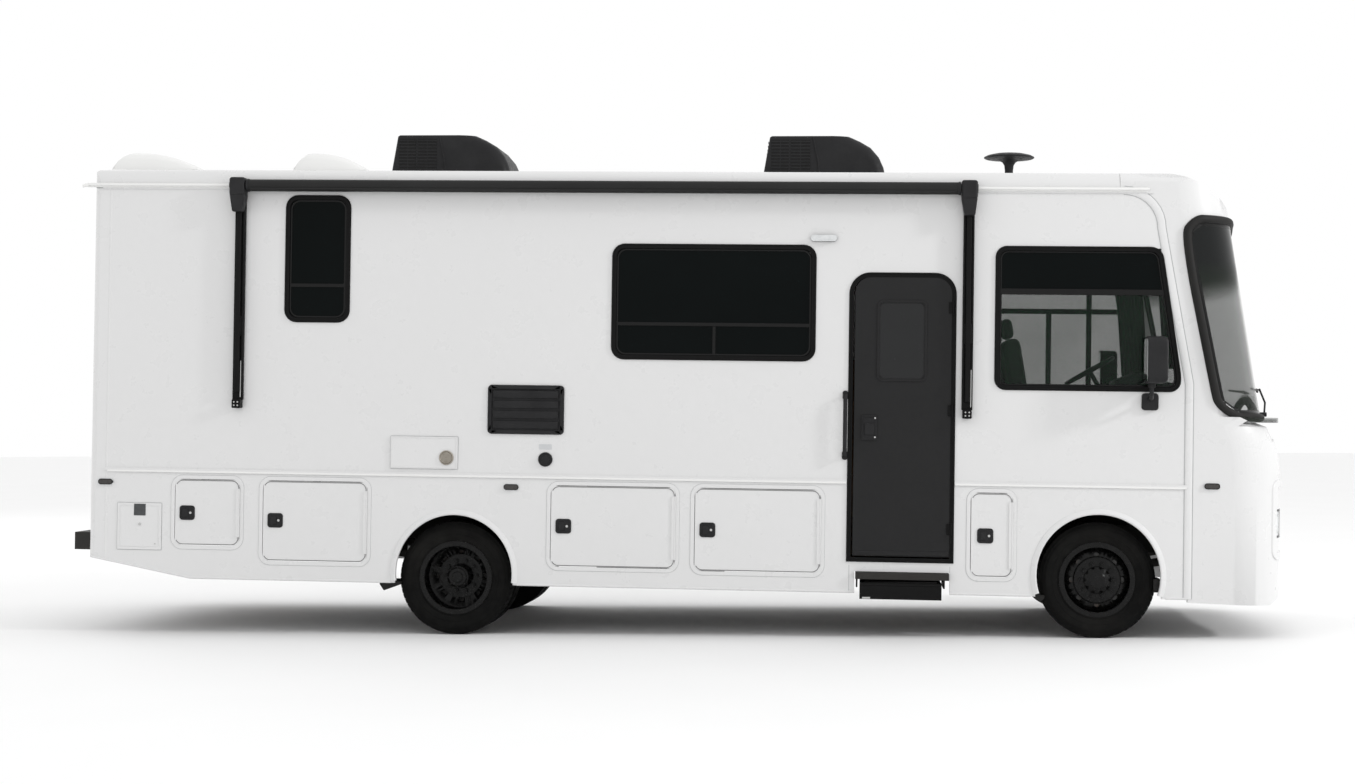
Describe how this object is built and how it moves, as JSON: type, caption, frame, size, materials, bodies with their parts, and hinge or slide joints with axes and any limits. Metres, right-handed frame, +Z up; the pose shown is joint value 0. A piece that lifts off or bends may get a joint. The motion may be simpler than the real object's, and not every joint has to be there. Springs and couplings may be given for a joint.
{
  "type": "motorhome",
  "caption": "Flat-fronted family motorhome on a ladder frame, with steered front wheels, twin rear wheels, entry door, sliding step and luggage locker doors",
  "frame": {"origin": "middle of the bounding box in plan, on the ground under the tyres", "axes": "+X forward along the length, +Y to the vehicle's left, +Z up"},
  "size_m": [8.8098, 3.075, 3.706],
  "materials": {
    "white_gelcoat": "gloss",
    "black_paint": "satin",
    "black_steel": "satin",
    "cast_metal": "matte",
    "tank_plastic": "matte",
    "steel_pipe": "brushed",
    "floor_covering": "matte",
    "underbody_coat": "matte",
    "bay_lining": "matte",
    "clear_glass": "gloss",
    "privacy_glass": "gloss",
    "black_plastic": "satin",
    "white_plastic": "gloss",
    "lamp_lens": "gloss",
    "grey_plastic": "matte",
    "seat_fabric": "woven",
    "cabinet_wood": "satin",
    "tyre": "matte",
    "black_rim": "gloss"
  },
  "bodies": {
    "chassis": {"frame_rails": "black_steel", "frame_cross_members": "black_steel", "floor_outriggers": "black_steel", "drivetrain": "cast_metal", "front_axle": "cast_metal", "rear_axle": "cast_metal", "leaf_springs": "black_steel", "underfloor_tanks": "tank_plastic", "exhaust_pipe": "steel_pipe", "floor": "floor_covering", "wheel_housings": "underbody_coat", "storage_bays": "bay_lining", "right_wall": "white_gelcoat", "left_wall": "white_gelcoat", "right_skirt": "white_gelcoat", "left_skirt": "white_gelcoat", "roof": "white_gelcoat", "rear_cap": "white_gelcoat", "front_cap": "white_gelcoat", "windshield": "clear_glass", "window_frames": "black_paint", "window_glass": "privacy_glass", "roof_air_conditioners": "black_plastic", "roof_vent_covers": "white_plastic", "roof_antenna": "white_plastic", "awning_roller": "black_paint", "awning_arms": "black_paint", "rear_bumper": "black_steel", "mirrors": "black_plastic", "lamps": "lamp_lens", "entry_door_frame": "black_paint", "step_housing": "black_steel", "dashboard": "grey_plastic", "cab_seats": "seat_fabric", "cabin_furniture": "cabinet_wood"},
    "knuckle_right": {"steering_knuckle_right": "cast_metal"},
    "knuckle_left": {"steering_knuckle_left": "cast_metal"},
    "wheel_front_right": {"front_tyre_right": "tyre", "front_rim_right": "black_rim"},
    "wheel_front_left": {"front_tyre_left": "tyre", "front_rim_left": "black_rim"},
    "wheel_rear_right": {"rear_tyres_right": "tyre", "rear_rims_right": "black_rim"},
    "wheel_rear_left": {"rear_tyres_left": "tyre", "rear_rims_left": "black_rim"},
    "steering_wheel": {"steering_wheel": "black_plastic"},
    "entry_door": {"entry_door": "black_paint"},
    "entry_step": {"entry_step": "black_steel"},
    "locker_door_right_1": {"locker_door_right_1": "white_gelcoat"},
    "locker_door_right_2": {"locker_door_right_2": "white_gelcoat"},
    "locker_door_right_3": {"locker_door_right_3": "white_gelcoat"},
    "locker_door_right_4": {"locker_door_right_4": "white_gelcoat"},
    "locker_door_right_5": {"locker_door_right_5": "white_gelcoat"},
    "locker_door_left_1": {"locker_door_left_1": "white_gelcoat"},
    "locker_door_left_2": {"locker_door_left_2": "white_gelcoat"},
    "locker_door_left_3": {"locker_door_left_3": "white_gelcoat"}
  },
  "joints": [
    {"name": "right_steer", "type": "hinge", "parent": "chassis", "child": "knuckle_right", "pos_m": [3.02106, -0.96, 0.405], "axis": [0, 0, 1], "range_deg": [-32, 32]},
    {"name": "left_steer", "type": "hinge", "parent": "chassis", "child": "knuckle_left", "pos_m": [3.02106, 0.96, 0.405], "axis": [0, 0, 1], "range_deg": [-32, 32]},
    {"name": "front_right_spin", "type": "hinge", "parent": "knuckle_right", "child": "wheel_front_right", "pos_m": [3.02106, -1.11, 0.405], "axis": [0, 1, 0], "continuous": true},
    {"name": "front_left_spin", "type": "hinge", "parent": "knuckle_left", "child": "wheel_front_left", "pos_m": [3.02106, 1.11, 0.405], "axis": [0, 1, 0], "continuous": true},
    {"name": "rear_right_spin", "type": "hinge", "parent": "chassis", "child": "wheel_rear_right", "pos_m": [-1.49994, -1.11, 0.405], "axis": [0, 1, 0], "continuous": true},
    {"name": "rear_left_spin", "type": "hinge", "parent": "chassis", "child": "wheel_rear_left", "pos_m": [-1.49994, 1.11, 0.405], "axis": [0, 1, 0], "continuous": true},
    {"name": "steering_wheel_turn", "type": "hinge", "parent": "chassis", "child": "steering_wheel", "pos_m": [3.16724, 0.56, 1.90384], "axis": [-0.4848, 0, 0.8746], "range_deg": [-480, 480]},
    {"name": "entry_door_hinge", "type": "hinge", "parent": "chassis", "child": "entry_door", "pos_m": [2.02369, -1.3005, 1.53874], "axis": [0.0175, 0, 0.9998], "range_deg": [0, 90]},
    {"name": "entry_step_slide", "type": "slide", "parent": "chassis", "child": "entry_step", "axis": [0, -1, 0], "range_m": [0, 0.26]},
    {"name": "locker_hinge_right_1", "type": "hinge", "parent": "chassis", "child": "locker_door_right_1", "pos_m": [-3.05801, -1.2915, 0.86932], "axis": [0.0175, 0, 0.9998], "range_deg": [0, 110]},
    {"name": "locker_hinge_right_2", "type": "hinge", "parent": "chassis", "child": "locker_door_right_2", "pos_m": [-2.1291, -1.2915, 0.8026], "axis": [0.0175, 0, 0.9998], "range_deg": [0, 110]},
    {"name": "locker_hinge_right_3", "type": "hinge", "parent": "chassis", "child": "locker_door_right_3", "pos_m": [0.08027, -1.2915, 0.76504], "axis": [0.0175, 0, 0.9998], "range_deg": [0, 110]},
    {"name": "locker_hinge_right_4", "type": "hinge", "parent": "chassis", "child": "locker_door_right_4", "pos_m": [1.10265, -1.2915, 0.74219], "axis": [0.0175, 0, 0.9998], "range_deg": [0, 110]},
    {"name": "locker_hinge_right_5", "type": "hinge", "parent": "chassis", "child": "locker_door_right_5", "pos_m": [2.43342, -1.2915, 0.71746], "axis": [0.0175, 0, 0.9998], "range_deg": [0, 110]},
    {"name": "locker_hinge_left_1", "type": "hinge", "parent": "chassis", "child": "locker_door_left_1", "pos_m": [-2.1291, 1.2915, 0.8026], "axis": [-0.0175, 0, -0.9998], "range_deg": [0, 110]},
    {"name": "locker_hinge_left_2", "type": "hinge", "parent": "chassis", "child": "locker_door_left_2", "pos_m": [0.08027, 1.2915, 0.76504], "axis": [-0.0175, 0, -0.9998], "range_deg": [0, 110]},
    {"name": "locker_hinge_left_3", "type": "hinge", "parent": "chassis", "child": "locker_door_left_3", "pos_m": [1.10265, 1.2915, 0.74219], "axis": [-0.0175, 0, -0.9998], "range_deg": [0, 110]}
  ],
  "couplings": [
    {"joint": "left_steer", "follows": "right_steer", "ratio": 1},
    {"joint": "steering_wheel_turn", "follows": "right_steer", "ratio": 15}
  ]
}
